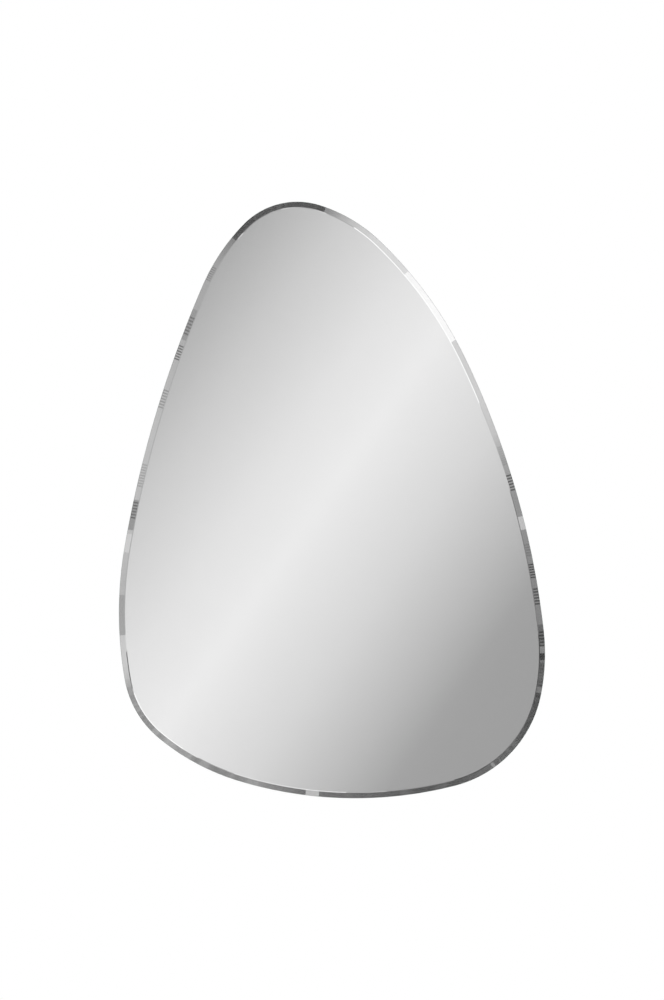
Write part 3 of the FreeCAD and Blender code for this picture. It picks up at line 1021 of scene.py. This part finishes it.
def build_studio(tree):
    """What the mirror shows in each direction: the gradient, the ring round it, and the room."""
    directions = tree.nodes.new("ShaderNodeTexCoord").outputs["Generated"]
    split = tree.nodes.new("ShaderNodeSeparateXYZ")
    tree.links.new(directions, split.inputs[0])
    ahead = calculate(tree, "MULTIPLY", split.outputs["Y"], -1.0)
    ahead = calculate(tree, "MAXIMUM", ahead, LEAST_AHEAD)
    across = calculate(tree, "DIVIDE", split.outputs["X"], ahead)
    upwards = calculate(tree, "DIVIDE", split.outputs["Z"], ahead)
    squares = [calculate(tree, "MULTIPLY", side, side) for side in (across, upwards)]
    spread = calculate(tree, "SQRT", calculate(tree, "ADD", *squares))
    opposite = [calculate(tree, "MULTIPLY", side, -1.0) for side in (upwards, across)]
    turn = calculate(tree, "MULTIPLY", calculate(tree, "ARCTAN2", *opposite), 180 / math.pi)
    turn = calculate(tree, "WRAP", turn, RING_START + 360, RING_START)
    face = hang_inner_cards(tree, turn, spread, show_gradient(tree, across, upwards))
    ring = show_ring(tree, directions, turn)
    studio = mix_colours(tree, remap(tree, spread, *FACE_EDGE, 0.0, 1.0), face, ring)
    room = grey_ramp(tree, split.outputs["Z"], ROOM_GREYS)
    return mix_colours(tree, remap(tree, spread, *RING_EDGE, 0.0, 1.0), studio, room)


def add_background(tree, colour, strength=1.0):
    """A background shader of this colour."""
    node = tree.nodes.new("ShaderNodeBackground")
    feed(tree, node.inputs["Color"], colour)
    node.inputs["Strength"].default_value = strength
    return node.outputs[0]


def build_world():
    """The studio in what mirrors it, white behind the object, and a plain light on the rest."""
    world = bpy.data.worlds.new("studio")
    bpy.context.scene.world = world
    world.use_nodes = True
    tree = world.node_tree
    tree.nodes.clear()
    seen = tree.nodes.new("ShaderNodeLightPath")
    mirrored = calculate(tree, "MAXIMUM", seen.outputs["Is Glossy Ray"], seen.outputs["Is Transmission Ray"])
    plain = add_background(tree, WHITE, PLAIN_LIGHT)
    surface = mix_shaders(tree, mirrored, plain, add_background(tree, build_studio(tree)))
    surface = mix_shaders(tree, seen.outputs["Is Camera Ray"], surface, add_background(tree, WHITE))
    output = tree.nodes.new("ShaderNodeOutputWorld")
    tree.links.new(surface, output.inputs["Surface"])


def build_camera():
    """The camera, level and square in front of the mirror's middle."""
    place = (0, GLASS_EDGE_FRONT * MM - CAMERA_DISTANCE, 0)
    bpy.ops.object.camera_add(location=place, rotation=(math.pi / 2, 0, 0))
    camera = bpy.context.object
    camera.data.lens = camera.data.sensor_width * CAMERA_DISTANCE / VIEW_HEIGHT
    camera.data.clip_end = 100
    bpy.context.scene.camera = camera


def build_floor():
    """A round pale floor below the mirror, which turns into the white backdrop towards its rim."""
    deselect_objects()
    bpy.ops.mesh.primitive_circle_add(
        vertices=96, radius=FLOOR_RADIUS, fill_type="NGON", location=(0, 0, FLOOR_LEVEL),
    )
    floor = bpy.context.object
    floor.name = "studio_floor"
    finish, tree, shader = new_finish("pale_floor", 0.9)
    shader.inputs["Base Color"].default_value = (0.7, 0.7, 0.7, 1)
    shader.inputs["Specular IOR Level"].default_value = 0.1
    place = tree.nodes.new("ShaderNodeTexCoord")
    reach = tree.nodes.new("ShaderNodeVectorMath")
    reach.operation = "LENGTH"
    tree.links.new(place.outputs["Object"], reach.inputs[0])
    start, end = (share * FLOOR_RADIUS for share in FLOOR_FADE)
    fade = remap(tree, reach.outputs["Value"], start, end, 0.0, 1.0)
    fade.node.interpolation_type = "SMOOTHSTEP"
    seen = tree.nodes.new("ShaderNodeLightPath")
    backdrop = tree.nodes.new("ShaderNodeEmission")
    strength = calculate(tree, "MAXIMUM", seen.outputs["Is Camera Ray"], FLOOR_RIM_STRENGTH)
    tree.links.new(strength, backdrop.inputs["Strength"])
    surface = mix_shaders(tree, fade, shader.outputs[0], backdrop.outputs[0])
    tree.links.new(surface, tree.nodes["Material Output"].inputs["Surface"])
    floor.data.materials.append(finish)


def add_softbox(name, place, size, power):
    """A square lamp that looks at the middle of the mirror."""
    bpy.ops.object.light_add(type="AREA", location=place)
    lamp = bpy.context.object
    lamp.name = name
    lamp.rotation_euler = (-Vector(place)).to_track_quat("-Z", "Y").to_euler()
    lamp.data.size = size
    lamp.data.energy = power
    lamp.visible_glossy = False
    lamp.visible_transmission = False


build_world()
build_floor()
for softbox in SOFTBOXES:
    add_softbox(*softbox)
build_camera()
bpy.context.scene.view_settings.view_transform = "Standard"
